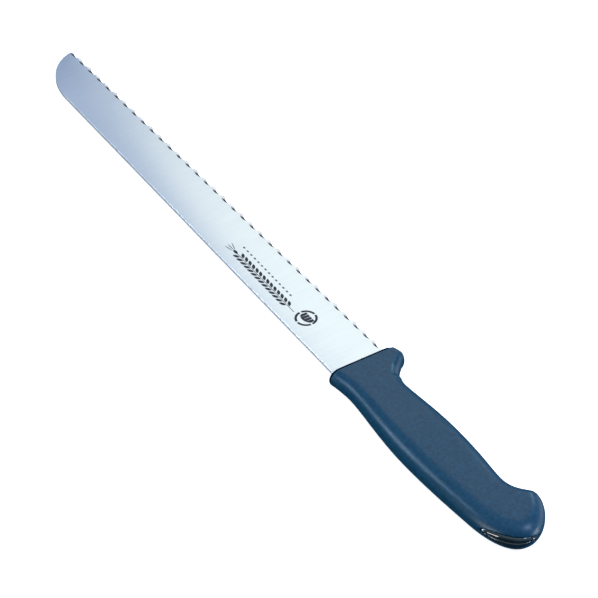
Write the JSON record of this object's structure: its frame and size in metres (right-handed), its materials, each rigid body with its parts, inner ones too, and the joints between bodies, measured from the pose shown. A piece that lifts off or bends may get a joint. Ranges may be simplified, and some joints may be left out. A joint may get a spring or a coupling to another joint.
{
  "type": "bread knife",
  "caption": "Long scalloped bread knife with a rounded tip, a finger guard and a hooked, grained plastic grip moulded over a glossy core that shows at the butt.",
  "frame": {"origin": "centre of the bounding box's footprint, on the plane the handle's left side lies on", "axes": "+X towards the blade's tip, +Y towards the spine, +Z out of the face the scallops are ground on"},
  "size_m": [0.3944, 0.0372, 0.0152],
  "materials": {
    "steel": "satin, finely ground along the blade's height",
    "core": "smooth and glossy",
    "grip": "fine moulded grain"
  },
  "bodies": {
    "root": {"blade": "steel", "core_right": "core", "core_left": "core", "grip": "grip"}
  },
  "joints": []
}
